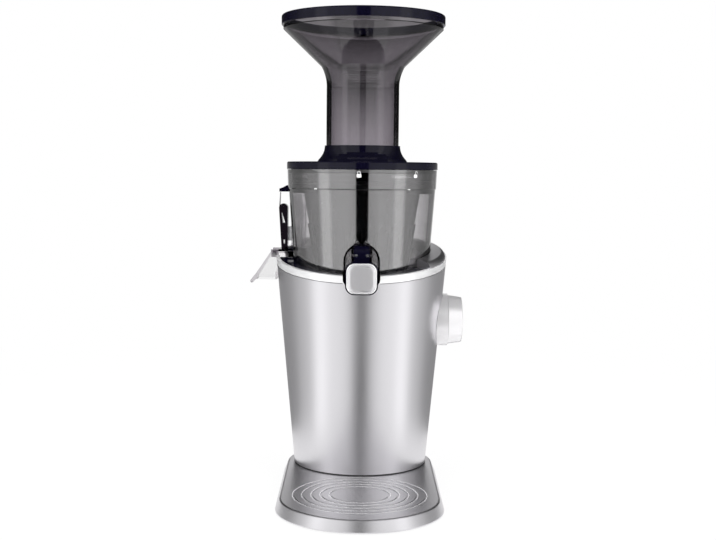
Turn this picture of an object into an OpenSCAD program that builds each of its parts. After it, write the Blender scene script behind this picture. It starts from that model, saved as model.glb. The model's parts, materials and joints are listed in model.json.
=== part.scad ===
// Cold press juicer, free standing.
// Origin: on the body axis at table level. +Z is up, -Y is the front, +X is the knob side.

/* [Base] */
// Height of the top face of the base above the table
base_h = 11.8; // [10:0.1:15]
// Radius of the round ends of the base, at its top edge
base_r = 72.5; // [71:0.5:78]
// Distance from the body axis to the centre of the front end
base_reach = 140; // [125:1:160]
// How far the foot of the base spreads past its top edge
base_flare = 3.5; // [1:0.1:5]
// Radius of the rounded top edge of the base
base_round = 2; // [0.5:0.1:3]
// Wall of the base cover
base_wall = 2.4; // [1.8:0.1:3]
// Thickness of the bottom plate
plate_t = 2.4; // [2:0.1:3.5]
// Diameter of a rubber foot
foot_d = 14; // [10:1:20]
// How far the feet stand out under the base
foot_out = 1; // [0.6:0.1:2]

/* [Drip rings] */
// Distance from the body axis to the centre of the drip rings
ring_y = 132; // [128:1:138]
// Radius of the innermost ring
ring_r = 26.7; // [20:0.1:30]
// Step from one ring to the next
ring_step = 8.3; // [7:0.1:9]
// Number of rings
ring_n = 5; // [3:1:5]
// Width of a ring's groove
ring_w = 1.6; // [0.8:0.1:2.5]
// Depth of a ring's groove
ring_deep = 0.6; // [0.3:0.1:1]

/* [Body] */
// Radius of the body where it meets the base
body_r = 66; // [62:0.5:70]
// Height of the slanted top of the body, on its axis
body_top = 220.5; // [205:0.5:240]
// Radius of the body at its top, on the axis height
body_top_r = 85.2; // [84:0.1:90]
// Wall of the body shell
body_wall = 2.4; // [2:0.1:3]
// Slant of the top of the body, in degrees, lower at the front
slant = 9.9; // [6:0.1:11]
// Height of the bright trim ring
trim_h = 7.2; // [5:0.1:9]
// Width of the trim ring, seen from above
trim_w = 3.2; // [2.8:0.1:4]
// Height of the silver shoulder over the trim
shoulder_h = 9; // [5:0.5:10]

/* [Deck] */
// How far the floor of the chamber's well lies below the body's top
well_drop = 23.5; // [22:0.5:25]
// Thickness of the deck's floor, wall and top
deck_t = 2.4; // [2:0.1:3]
// How far the deck lies below the top of the trim
deck_drop = 2; // [1:0.1:3]

/* [Chamber] */
// Outer radius of the chamber at its floor
bowl_r = 66.4; // [64:0.1:67]
// Outer radius of the chamber under its upper band
bowl_top_r = 73; // [71:0.1:73.4]
// Height from the well's floor to the chamber's upper band
bowl_h = 89.7; // [84:0.1:95]
// Outer radius of the upper band at its foot
band_r = 73.7; // [73.5:0.1:74.5]
// Outer radius of the chamber at its rim
rim_r = 74.5; // [74.2:0.1:76]
// Height of the chamber's upper band
band_h = 19.1; // [17:0.1:22]
// Wall of the chamber
bowl_wall = 2.2; // [1.8:0.1:2.6]
// Floor of the chamber
bowl_floor = 2.6; // [2:0.1:3]
// Outer radius of the sleeve that keeps the juice from the shaft
sleeve_r = 12.4; // [12:0.1:14]
// Height of the sleeve above the chamber floor
sleeve_h = 20; // [15:1:24]

/* [Strainers] */
// Outer radius of the outer strainer at its rim
strainer_r = 58.5; // [56:0.1:60]
// Taper of the strainers, radius lost for each millimetre down
strainer_taper = 0.17; // [0.14:0.01:0.19]
// Wall of a strainer
strainer_wall = 1.9; // [1.5:0.1:2.2]
// Gap between the two strainers
strainer_gap = 0.6; // [0.4:0.1:1]
// Number of ribs and of slits
rib_n = 24; // [18:1:26]
// Width of a rib
rib_w = 6; // [4:0.5:7]
// How far a rib stands out
rib_out = 1.4; // [1:0.1:2]
// Height of the top of the ribs above the well's floor
rib_h = 56; // [50:1:62]
// Width of a slit
slit_w = 1.2; // [0.8:0.1:1.6]

/* [Screw] */
// Gap between the squeezing screw and the inner strainer
screw_gap = 1; // [0.6:0.1:1.6]
// Radius of the screw's core at its foot
core_r = 33; // [28:0.5:34]
// Radius of the screw's core at its head
core_top_r = 11; // [9:0.5:14]
// Turns of each flight
flight_turns = 1.15; // [0.8:0.05:1.4]
// Number of flights
flight_n = 2; // [1:1:3]
// Thickness of a flight at its root
flight_t = 5; // [4:0.1:7]

/* [Spout and cap] */
// Width of the spout housing
spout_w = 34; // [30:0.5:38]
// Height of the crown of the spout housing above the well's floor
spout_h = 41; // [38:0.5:45]
// Distance from the axis to the front of the spout housing
spout_y = 92; // [91:0.5:95]
// Width of the juice channel
channel_w = 22; // [16:0.5:24]
// Height of the juice channel
channel_h = 11; // [8:0.5:12]
// Wall of the spout housing
spout_wall = 1.8; // [1.4:0.1:2.4]
// Height of the cap's hinge pin above the well's floor
cap_pin_h = 29; // [27.5:0.5:30.5]
// Distance from the axis to the cap's hinge pin
cap_pin_y = 88.5; // [87.5:0.5:89.5]
// Radius of the cap's hinge pin
cap_pin_r = 1.4; // [1:0.1:1.8]
// Width and height of the cap
cap_w = 30.4; // [26:0.2:33]
// Height of the middle of the cap above the well's floor
cap_mid_h = 8.6; // [7.5:0.1:9.5]
// Corner radius of the cap
cap_round = 8.5; // [5:0.1:11]
// Thickness of the cap, with its plate
cap_t = 10.6; // [8:0.1:12]
// Thickness of the cap's silver plate
cap_plate_t = 2.4; // [1.5:0.1:3]
// Width of the arm of the cap
arm_w = 14.6; // [12:0.2:16]

/* [Pulp outlet] */
// Width of the pulp duct
duct_w = 26; // [22:0.5:28]
// Distance of the duct's middle behind the body axis
duct_y = 15.4; // [15:0.1:17]
// Height of the top of the duct above the well's floor
duct_h = 26.4; // [25.5:0.1:27]
// How far the chute's mouth lies below the well's floor
mouth_drop = 1.6; // [0:0.1:6]
// Distance from the axis to the outer end of the chute's mouth
mouth_x = 108; // [104:0.5:112]
// Wall of the chute
chute_wall = 1.8; // [1.4:0.1:2.2]
// Height of the top of the lever above the well's floor
lever_h = 74; // [66:0.5:78]
// Width of the lever's paddle
lever_w = 16; // [12:0.5:18]
// Radius of the lever's pivots
lever_pin_r = 1.5; // [1.2:0.1:1.8]

/* [Lid] */
// Radius of the lid
lid_r = 75; // [74.5:0.1:76.5]
// Height of the lid's edge
lid_h = 7.2; // [6:0.1:9]
// Height of the collar above the chamber's rim
collar_h = 23.7; // [20:0.1:28]
// Radius of the flared foot of the collar
collar_r = 43.5; // [42:0.5:48]
// Wall of the lid
lid_wall = 2.5; // [2:0.1:3]

/* [Hopper] */
// Outer radius of the feed tube
tube_r = 36; // [32:0.1:38]
// Wall of the feed tube and the funnel
tube_wall = 2.4; // [2:0.1:3]
// Height of the funnel's bend over the feed tube
bend_h = 19; // [15:0.5:24]
// Height of the funnel's cone over its bend
cone_h = 36.6; // [30:0.1:42]
// Outer radius of the funnel where its bend ends
neck_r = 41; // [39:0.1:44]
// Height of the funnel's upright lip under the rim
lip_h = 3.7; // [2:0.1:6]
// Height of the black rim
hopper_rim_h = 9.7; // [7:0.1:12]
// Overall height of the juicer
total_h = 457; // [440:0.5:475]
// Outer radius of the hopper rim
hopper_r = 80.8; // [78:0.1:84]

/* [Knob] */
// How far the knob's axis lies below the body's top
knob_drop = 64; // [56:0.5:70]
// Distance from the body axis to the end of the boss
boss_x = 86.5; // [84:0.5:90]
// Radius of the boss
boss_r = 26; // [25:0.5:28]
// Radius of the knob at its foot
knob_r = 24.5; // [20:0.1:25]
// Radius of the knob at its face
knob_face_r = 22.6; // [18:0.1:24]
// Depth of the knob
knob_t = 14.2; // [10:0.1:18]

/* [Drive] */
// Distance between the two gear axes
gear_a = 36; // [35:0.5:37]
// Teeth of a pinion
pinion_n = 12; // [11:1:13]
// Teeth of the large gear on the idler
idler_n = 60; // [56:2:64]
// Teeth of the output gear
output_n = 48; // [44:2:52]
// Radius of the drive shaft
shaft_r = 7; // [6:0.1:7.5]
// Width of the shaft's hexagon across its flats
hex_af = 13; // [11:0.1:13.5]
// Height of the foot of the motor
motor_z = 46; // [40:1:50]
// How far the gearbox's foot lies below the well's floor
gearbox_drop = 79; // [76:1:83]

/* [Fits] */
// Gap between two pieces that move or lift apart
gap = 0.35; // [0.3:0.05:0.5]
// Radial running clearance of a shaft or pin
run = 0.05; // [0.03:0.01:0.09]

/* [Hidden] */
$fn = 96;
far = 400;
well_z = body_top - well_drop;
band_z = well_z + bowl_h;
rim_z = band_z + band_h;
rib_top = well_z + rib_h;
spout_top = well_z + spout_h;
cap_pin_z = well_z + cap_pin_h;
cap_z = well_z + cap_mid_h;
duct_top = well_z + duct_h;
mouth_z = well_z - mouth_drop;
lever_top = well_z + lever_h;
collar_z = rim_z + collar_h;
hopper_z = total_h - hopper_rim_h;
neck_z = hopper_z - lip_h - cone_h;
bend_z = neck_z - bend_h;
knob_z = body_top - knob_drop;
gearbox_z = well_z - gearbox_drop;
body_slope = (body_top_r - body_r) / (body_top - base_h);
function body_r_at(z) = body_r + body_slope * (z - base_h);
bowl_z = well_z + gap;
floor_z = bowl_z + bowl_floor;
bowl_slope = (bowl_top_r - bowl_r) / (band_z - bowl_z);
function bowl_r_at(z) = bowl_r + bowl_slope * (z - bowl_z);
function band_r_at(z) = band_r + (rim_r - band_r) * (z - band_z) / (rim_z - band_z);
basket_z = band_z - 0.2;
function strainer_r_at(z) = strainer_r - strainer_taper * (basket_z - z);
function inner_r_at(z) = strainer_r_at(z) - strainer_wall - strainer_gap;
function screw_r_at(z) = inner_r_at(z) - strainer_wall - screw_gap;
slant_run = tan(slant);

// Points of a quarter circle from angle a0 to a1 round [x, y]
function arc(x, y, r, a0, a1, n = 8) =
    [for (i = [0:n]) [x + r * cos(a0 + (a1 - a0) * i / n), y + r * sin(a0 + (a1 - a0) * i / n)]];

// The space below the slanted top, moved down by drop
module below_slant(drop) {
    translate([0, 0, body_top - drop]) rotate([slant, 0, 0])
        translate([-far / 2, -far / 2, -far]) cube([far, far, far]);
}

// A cone round the body axis between two heights, with its radius given at both
module cone(z0, z1, r0, r1) {
    translate([0, 0, z0]) cylinder(h = z1 - z0, r1 = r0, r2 = r1);
}

// The body's outer cone, made smaller by inset
module body_cone(z0, z1, inset) {
    cone(z0, z1, body_r_at(z0) - inset, body_r_at(z1) - inset);
}

// Two round ends and the straight run between them, from a profile of radius and height
module stadium(profile) {
    rotate_extrude() polygon(profile);
    translate([0, -base_reach, 0]) rotate_extrude() polygon(profile);
    rotate([90, 0, 0]) linear_extrude(base_reach) {
        polygon(profile);
        mirror([1, 0]) polygon(profile);
    }
}

module tube(z0, z1, r_out, r_in) {
    translate([0, 0, z0]) difference() {
        cylinder(h = z1 - z0, r = r_out);
        translate([0, 0, -1]) cylinder(h = z1 - z0 + 2, r = r_in);
    }
}

// A rounded square in the X and Y plane
module round_square(w, r) {
    square([w, w - 2 * r], center = true);
    square([w - 2 * r, w], center = true);
    for (x = [-1, 1], y = [-1, 1]) translate([x * (w / 2 - r), y * (w / 2 - r)]) circle(r);
}

// A slab drawn in the X and Z plane, from y0 back to y0 + depth
module upright(y0, depth) {
    translate([0, y0 + depth, 0]) rotate([90, 0, 0]) linear_extrude(depth) children();
}

/* Base ------------------------------------------------------------- */
base_z0 = foot_out;
post_room = 14;
post_r = body_r - post_room;
stator_r = post_r - 10;
post_angles = [30, 150, 270];
screw_r = 1.8;
front_screws = [-1, 1];
front_screw_x = 40;
front_screw_y = 180;
boss_wall = 2.6;
foot_spots = [[0, 0], [0, 55], [-50, -25], [50, -25], [-45, -165], [45, -165]];

function base_profile(inset) = concat(
    [[0, base_z0 - (inset > 0 ? 1 : 0)], [base_r + base_flare - inset, base_z0 - (inset > 0 ? 1 : 0)],
     [base_r + base_flare - inset, base_z0 + 1]],
    inset > 0 ? [[base_r - inset, base_h - inset]]
              : arc(base_r + base_round * 0.1 - base_round, base_h - base_round, base_round, 15, 90, 5),
    [[0, base_h - inset]]);

module at_posts() {
    for (a = post_angles) rotate([0, 0, a]) translate([post_r, 0, 0]) children();
}

module at_front_screws() {
    for (s = front_screws) translate([s * front_screw_x, -front_screw_y, 0]) children();
}

module base_cover() color("silver") {
    boss_h = base_h - base_z0 - plate_t;
    difference() {
        union() {
            difference() {
                stadium(base_profile(0));
                stadium(base_profile(base_wall));
            }
            translate([0, 0, base_z0 + plate_t]) {
                at_posts() cylinder(h = boss_h - 1, r = screw_r + boss_wall);
                at_front_screws() cylinder(h = boss_h - 1, r = screw_r + boss_wall);
            }
        }
        at_posts() cylinder(h = far / 2, r = screw_r + run, center = true);
        at_front_screws() cylinder(h = 2 * (base_h - base_wall), r = screw_r + run, center = true);
        for (i = [0:ring_n - 1]) translate([0, -ring_y, 0])
            tube(base_h - ring_deep, base_h + 1, ring_r + i * ring_step + ring_w / 2,
                 ring_r + i * ring_step - ring_w / 2);
    }
}

module bottom_plate() color("dimgray") {
    inner = base_r + base_flare - base_wall - gap;
    difference() {
        stadium([[0, base_z0], [inner, base_z0], [inner - plate_t * base_flare / base_h - 0.6,
            base_z0 + plate_t],
                 [0, base_z0 + plate_t]]);
        for (p = foot_spots) translate([p[0], p[1], -1]) cylinder(h = base_z0 + 2, d = foot_d + 2 * run);
        at_posts() cylinder(h = far, r = screw_r + run, center = true);
        at_front_screws() cylinder(h = far, r = screw_r + run, center = true);
    }
}

module feet() color("black") {
    for (p = foot_spots) translate([p[0], p[1], 0]) cylinder(h = base_z0 + 1, d = foot_d);
}

module bottom_screws() color("gray") {
    head_h = 0.8;
    translate([0, 0, base_z0 - head_h]) {
        at_posts() {
            cylinder(h = head_h, r = 2 * screw_r);
            cylinder(h = base_h + head_h + 3, r = screw_r);
        }
        at_front_screws() {
            cylinder(h = head_h, r = 2 * screw_r);
            cylinder(h = base_h - base_wall - base_z0, r = screw_r);
        }
    }
}

/* Body ------------------------------------------------------------- */
body_high = body_top + 2 * slant_run * body_top_r;
trim_drop = trim_h;
spout_notch_w = spout_w + 4 * gap;
spout_notch_z = well_z - 1.5;
notch_round = 8;
duct_side = 3.2;
duct_notch_w = duct_w + 2 * (duct_side + 2 * gap) + 1;
duct_z = well_z + 3.5;
gland_z = 30;
gland_r = 6;

// An upright strip with a round at each of its two lower corners
module rounded_strip(w, z, r) {
    translate([-w / 2, z + r]) square([w, far]);
    translate([-w / 2 + r, z]) square([w - 2 * r, 2 * r]);
    for (s = [-1, 1]) translate([s * (w / 2 - r), z + r]) circle(r);
}

// The U-shaped way through the front of the body for the juice spout
module spout_way() {
    upright(-far / 2, far / 2 - bowl_r / 2) rounded_strip(spout_notch_w, spout_notch_z, notch_round);
}

// The way through the left of the body for the pulp duct
module duct_way() {
    translate([-far, duct_y - duct_notch_w / 2, duct_z - 1]) cube([far - bowl_r / 2, duct_notch_w, far]);
}

module along_knob(x) {
    translate([x, 0, knob_z]) rotate([0, 90, 0]) children();
}

module body_shell() color("silver") {
    difference() {
        intersection() {
            body_cone(base_h, body_high, 0);
            below_slant(trim_drop);
        }
        body_cone(base_h - 1, body_high + 1, body_wall);
        spout_way();
        duct_way();
        along_knob(body_r / 2) cylinder(h = far, r = boss_r - 6);
        translate([0, 0, gland_z]) rotate([-90, 0, 0]) cylinder(h = far, r = gland_r);
    }
}

// The trim follows the slant and dips round the juice spout
module top_trim() color("whitesmoke") {
    difference() {
        intersection() {
            body_cone(body_r, body_high, 0);
            below_slant(0);
        }
        body_cone(body_r - 1, body_high + 1, trim_w);
        below_slant(trim_drop);
        spout_way();
        duct_way();
    }
}

module well_cut(z0) {
    z1 = z0 + bowl_h;
    cone(z0, z1, bowl_r_at(z0) + 2 * gap, bowl_r_at(z1) + 2 * gap);
}

module inner_deck() color("black") {
    side = trim_w + gap;
    under = well_z - deck_t;
    difference() {
        union() {
            difference() {
                intersection() {
                    body_cone(under, body_high, side);
                    below_slant(deck_drop);
                }
                difference() {
                    intersection() {
                        body_cone(under - 1, body_high, side + deck_t);
                        below_slant(deck_drop + deck_t);
                    }
                    cone(under - 2, body_high + 1, bowl_r_at(well_z) + deck_t,
                        bowl_r_at(body_high) + deck_t);
                }
            }
            translate([0, 0, seal_z]) cylinder(h = under - seal_z + 1, r = seal_r + deck_t);
        }
        well_cut(well_z);
        translate([0, 0, seal_z - 1]) cylinder(h = far, r = seal_r);
        spout_way();
        duct_way();
    }
}

// The crowned shoulder sits on the deck, from the front right round to the back left
module deck_shoulder() color("silver") {
    start = -38;
    sweep = 188;
    outer = body_top_r * 0.985;
    inner = bowl_r;
    crown = shoulder_h;
    profile = concat([[inner, 0], [outer, 0]],
                     arc(outer - crown * 0.75, crown * 0.15, crown * 0.75, 0, 70, 8),
                     [[inner, crown]]);
    difference() {
        translate([0, 0, body_top - deck_drop]) rotate([slant, 0, 0])
            rotate([0, 0, start]) rotate_extrude(angle = sweep) polygon(profile);
        well_cut(well_z);
        difference() {
            cone(well_z - body_r, body_high + body_r, far, far);
            body_cone(well_z - body_r - 1, body_high + body_r + 1, trim_w + gap / 2);
            translate([0, 0, body_top + 0.02]) rotate([slant, 0, 0])
                translate([-far / 2, -far / 2, 0]) cube([far, far, far]);
        }
    }
}

/* Knob ------------------------------------------------------------- */
spindle_r = 3;
switch_x = 56;
boss_in = 70;

module switch_boss() color("silver") {
    difference() {
        union() {
            difference() {
                along_knob(boss_in) cylinder(h = boss_x - boss_in, r = boss_r);
                body_cone(knob_z - 2 * boss_r, knob_z + 2 * boss_r, -0.03);
            }
            along_knob(boss_in) cylinder(h = boss_x - boss_in, r = boss_r - 6 - gap);
        }
        along_knob(boss_in - 1) cylinder(h = far, r = spindle_r + run);
        along_knob(boss_in - 1) cylinder(h = boss_x - boss_in - 3, r = boss_r - 9);
    }
}

module rotary_switch() color("dimgray") {
    side = 24;
    flange_r = boss_r - 7;
    difference() {
        union() {
            translate([switch_x, -side / 2, knob_z - side / 2]) cube([boss_in - switch_x, side, side]);
            along_knob(boss_in - 2) cylinder(h = 2, r = flange_r);
            for (y = [-8, 0, 8]) translate([switch_x - 6, y - 2, knob_z - 4]) cube([7, 4, 0.8]);
        }
        along_knob(switch_x + 2) cylinder(h = far, r = spindle_r + run);
    }
}

module knob_spindle() color("gray") {
    along_knob(switch_x + 3) cylinder(h = boss_x + knob_t - 5 - switch_x - 3, r = spindle_r);
}

module control_knob() color("silver") {
    face = knob_face_r - 1.2;
    profile = concat([[0, 0], [knob_r, 0], [knob_face_r, knob_t - gap - 1.2]],
                     arc(face, knob_t - gap - 1.2, 1.2, 0, 90, 5), [[0, knob_t - gap]]);
    difference() {
        along_knob(boss_x + gap) difference() {
            rotate_extrude() polygon(profile);
            translate([0, 0, -1]) cylinder(h = 5, r = knob_r - 3);
            translate([0, 0, -1]) cylinder(h = knob_t - 4, r = spindle_r + 0.01);
        }
        translate([boss_x + knob_t - 1, -0.8, knob_z + knob_face_r / 2]) cube([2, 1.6, far]);
    }
    along_knob(boss_x + gap + 2) tube(0, 3, spindle_r + 4, spindle_r + 0.01);
}

/* Frame and motor --------------------------------------------------- */
motor_top = gearbox_z;
end_t = 3;
rotor_r = stator_r - 16;
rotor_gap = 0.5;
motor_shaft_r = 4;
bearing_r = 9;
gear_y = gear_a;

module chassis() color("dimgray") {
    ring_h = 4;
    difference() {
        union() {
            tube(base_h, base_h + ring_h, post_r + 8, post_r - 8);
            at_posts() translate([0, 0, base_h]) cylinder(h = gearbox_z - base_h, r = 5.5);
            translate([0, 0, motor_z - 5]) {
                for (a = post_angles) rotate([0, 0, a]) translate([20, -4, 0])
                    cube([post_r - 20, 8, 4.9]);
                tube(0, 4.9, 26, 12);
            }
        }
        at_posts() cylinder(h = 2 * (base_h + 6), r = screw_r + run, center = true);
    }
}

module motor_stator() color("gray") {
    z0 = motor_z;
    difference() {
        union() {
            translate([0, 0, z0]) cylinder(h = motor_top - z0, r = stator_r - 4);
            translate([0, 0, z0 + 8]) cylinder(h = motor_top - z0 - 16, r = stator_r);
        }
        translate([0, 0, z0 + end_t]) cylinder(h = motor_top - z0 - 2 * end_t, r = rotor_r + rotor_gap);
        translate([0, 0, z0 - 1]) cylinder(h = far, r = bearing_r);
        for (a = [0:30:330]) rotate([0, 0, a]) translate([stator_r - 2, -2, z0 + 12])
            cube([4, 4, motor_top - z0 - 24]);
    }
}

module motor_bearings() color("lightgray") {
    for (z = [motor_z, motor_top - end_t])
        tube(z, z + end_t, bearing_r - 0.02, motor_shaft_r + run);
}

module motor_rotor() color("darkgray") {
    z0 = motor_z + end_t + 2;
    z1 = motor_top - end_t - 2;
    translate([0, 0, z0]) cylinder(h = z1 - z0, r = rotor_r);
    translate([0, 0, motor_z - 18]) cylinder(h = pinion_z - motor_z + 18, r = motor_shaft_r);
    translate([0, 0, pinion_z]) cylinder(h = pinion_h, r = pinion_bore - 0.01);
}

module motor_fan() color("black") {
    hub_r = motor_shaft_r + 5;
    fan_h = 8;
    fan_z = motor_z - 2 * fan_h;
    blade_n = 9;
    blade_t = 1.6;
    blade_l = stator_r - 8.5 - hub_r + 1.5;
    tube(fan_z, fan_z + fan_h, hub_r, motor_shaft_r + 0.01);
    for (i = [1:blade_n]) rotate([0, 0, i * 360 / blade_n]) translate([hub_r - 1.5, -1, fan_z + 0.4])
        rotate([20, 0, 0]) cube([blade_l, blade_t, fan_h - 1.4]);
}

/* Gears -------------------------------------------------------------- */
pressure = 25;
module_1 = 2 * gear_a / (pinion_n + idler_n);
module_2 = 2 * gear_a / (pinion_n + output_n);
plate_h = 4;
pinion_z = gearbox_z + plate_h + 2;
pinion_h = 9;
pinion_bore = 3;
big_z = pinion_z + 1;
big_h = 7;
small_z = big_z + big_h;
small_h = 12;
output_z = small_z + 2.5;
output_h = 8;
box_top = output_z + output_h + 8;
box_wall = 2;
bush_h = 7;
bush_r = shaft_r + 3.5;
hub_top = box_top + 20;
seal_z = hub_top + 1;
seal_r = shaft_r + 3;

// Angle of the involute where it reaches radius r, for a base circle rb
function roll(r, rb) = sqrt(max(0, r * r / (rb * rb) - 1)) * 180 / PI;
function inv_angle(r, rb) = roll(r, rb) - atan(roll(r, rb) * PI / 180);

// Half a tooth's angle at radius r, thinned for backlash
function half_tooth(m, n, r) =
    let (rp = m * n / 2, rb = rp * cos(pressure))
    90 / n - 0.07 / rp * 180 / PI + inv_angle(rp, rb) - inv_angle(max(r, rb), rb);

function polar(r, a) = [r * cos(a), r * sin(a)];

// Points of a spur gear with involute flanks
function gear_points(m, n, steps = 4) =
    let (rp = m * n / 2, r0 = rp - 1.15 * m, r1 = rp + 0.9 * m)
    [for (i = [0:n - 1]) let (mid = 360 / n * i)
        each concat([for (k = [0:steps]) let (r = r0 + (r1 - r0) * k / steps) polar(r,
            mid - half_tooth(m, n, r))],
                    [for (k = [steps:-1:0]) let (r = r0 + (r1 - r0) * k / steps) polar(r,
                        mid + half_tooth(m, n, r))])];

module gear(m, n, h) {
    linear_extrude(h) polygon(gear_points(m, n));
}

module motor_pinion() color("goldenrod") {
    translate([0, 0, pinion_z]) difference() {
        rotate([0, 0, 90]) gear(module_1, pinion_n, pinion_h);
        translate([0, 0, -1]) cylinder(h = pinion_h + 2, r = pinion_bore);
    }
}

module idler_gear() color("ivory") {
    translate([0, gear_y, 0]) difference() {
        union() {
            translate([0, 0, big_z]) rotate([0, 0, -90 + 180 / idler_n]) gear(module_1, idler_n, big_h);
            translate([0, 0, small_z - 1]) rotate([0, 0, -90]) gear(module_2, pinion_n, small_h + 1);
        }
        translate([0, 0, big_z - 1]) cylinder(h = big_h + small_h + 2, r = axle_r + run);
        for (a = [0:60:300]) rotate([0, 0, a]) translate([18, 0, big_z - 1])
            cylinder(h = big_h + 2, r = 5);
    }
}

module output_gear() color("ivory") {
    difference() {
        translate([0, 0, output_z]) rotate([0, 0, 90 + 180 / output_n])
            gear(module_2, output_n, output_h);
        translate([0, 0, output_z - 1]) cylinder(h = output_h + 2, r = shaft_r + 0.01);
        for (a = [30:60:330]) rotate([0, 0, a]) translate([18, 0, output_z - 1])
            cylinder(h = output_h + 2, r = 4.5);
    }
}

/* Gearbox ------------------------------------------------------------ */
axle_r = 3;
axis_room = 33.5;
idler_room = module_1 * (idler_n / 2 + 0.9) + 0.9;
ears = [[-33.8, 19.5], [33.8, 19.5], [-31.6, -22.1], [31.6, -22.1]];

module gearbox_outline(grow) {
    circle(axis_room + grow);
    translate([0, gear_y]) circle(idler_room + grow);
}

module ear_posts(z0, z1) {
    for (e = ears) translate([e[0], e[1], z0]) cylinder(h = z1 - z0, r = 4.5);
}

module ear_holes() {
    for (e = ears) translate([e[0], e[1], 0]) cylinder(h = far, r = screw_r + run);
}

module post_lugs(z0, h) {
    at_posts() translate([0, 0, z0]) cylinder(h = h, r = 6);
    for (a = post_angles) rotate([0, 0, a]) translate([axis_room + 1, -4, z0])
        cube([post_r - axis_room - 1, 8, h]);
}

module gearbox_lower() color("slategray") {
    difference() {
        union() {
            translate([0, 0, gearbox_z]) linear_extrude(box_top - gearbox_z) gearbox_outline(box_wall);
            ear_posts(gearbox_z, box_top);
            post_lugs(gearbox_z, plate_h);
        }
        difference() {
            translate([0, 0, gearbox_z + plate_h]) linear_extrude(far) gearbox_outline(0);
            translate([0, gear_y, gearbox_z]) cylinder(h = big_z - gearbox_z - gap, r = 6);
        }
        translate([0, 0, gearbox_z - 1]) cylinder(h = far, r = motor_shaft_r + 1.5);
        translate([0, gear_y, gearbox_z - 1]) cylinder(h = far, r = axle_r + 0.02);
        ear_holes();
    }
}

module gearbox_upper() color("slategray") {
    top = box_top + plate_h;
    difference() {
        union() {
            translate([0, 0, box_top]) linear_extrude(plate_h) gearbox_outline(box_wall);
            ear_posts(box_top, top);
            translate([0, 0, box_top]) cylinder(h = hub_top - box_top, r = bush_r + 4);
            for (a = [0:60:300]) rotate([0, 0, a]) translate([bush_r, -1.5, top - 0.5]) cube([16, 3, 6]);
            translate([0, gear_y, small_z + small_h + gap]) cylinder(h = box_top - small_z - small_h,
                r = 6);
        }
        translate([0, 0, box_top - 1]) cylinder(h = far, r = bush_r + 0.02);
        translate([0, gear_y, small_z]) cylinder(h = top - small_z - 1.5, r = axle_r + 0.02);
        ear_holes();
    }
}

module gearbox_screws() color("gray") {
    for (e = ears) translate([e[0], e[1], gearbox_z + 6]) {
        cylinder(h = box_top + plate_h - gearbox_z - 6, r = screw_r);
        translate([0, 0, box_top + plate_h - gearbox_z - 6]) cylinder(h = 1.8, r = 2 * screw_r);
    }
}

module idler_axle() color("silver") {
    translate([0, gear_y, gearbox_z + 0.5]) cylinder(h = box_top + plate_h - 1.6 - gearbox_z - 0.5,
        r = axle_r);
}

module output_bushes() color("peru") {
    for (z = [box_top, hub_top - bush_h]) tube(z, z + bush_h, bush_r, shaft_r + run);
}

hex_z = floor_z + sleeve_h + 1.5;
hex_h = 18;

module drive_shaft() color("silver") {
    z0 = output_z - 1.5;
    translate([0, 0, z0]) cylinder(h = hex_z - z0, r = shaft_r);
    translate([0, 0, hex_z]) {
        cylinder(h = hex_h, d = hex_af / cos(30), $fn = 6);
    }
}

module shaft_seal() color("black") {
    tube(seal_z, well_z - deck_t - 0.4, seal_r - 0.06, shaft_r + run);
    tube(well_z - deck_t - 0.4, well_z, seal_r - 0.06, shaft_r + 1);
}

module cord_gland() color("black") {
    y0 = body_r_at(gland_z) - body_wall;
    translate([0, y0 - 1, gland_z]) rotate([-90, 0, 0]) difference() {
        union() {
            translate([0, 0, -1.2]) cylinder(h = body_wall + 5, r = gland_r - 0.2);
            translate([0, 0, body_wall + 2]) cylinder(h = 2.4, r = gland_r + 2);
            translate([0, 0, -2]) cylinder(h = 2, r = gland_r + 2);
        }
        translate([0, 0, -3]) cylinder(h = 20, r = 3.4);
    }
}

module circuit_board() color("darkgreen") {
    z0 = base_h + 4;
    x0 = -56;
    h = 44;
    w = 34;
    translate([x0, -w / 2, z0]) cube([1.6, w, h]);
    translate([x0 + 1.6, -9, z0 + 8]) rotate([0, 90, 0]) cylinder(h = 9, r = 5);
    translate([x0 + 1.6, 5, z0 + 6]) cube([7, 9, 9]);
    translate([x0 + 1.6, -12, z0 + 22]) cube([5, 8, 6]);
    translate([x0 + 1.6, 1, z0 + 24]) cube([2, 11, 11]);
}

/* Chamber ------------------------------------------------------------ */
duct_floor = well_z + 3.6;
plug_z = well_z + 44;
plug_w = 12;
plug_h = 14;

// The inside of the duct, from the strainer's foot out past the body
module duct_space(x0, x1) {
    translate([x0, duct_y - duct_w / 2 + chute_wall, duct_floor + chute_wall])
        cube([x1 - x0, duct_w - 2 * chute_wall, duct_top - duct_floor - 2 * chute_wall]);
}

channel_z = floor_z + 0.6;

module juice_channel(y0, y1) {
    translate([-channel_w / 2, -y1, channel_z]) cube([channel_w, y1 - y0, channel_h]);
}

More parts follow.
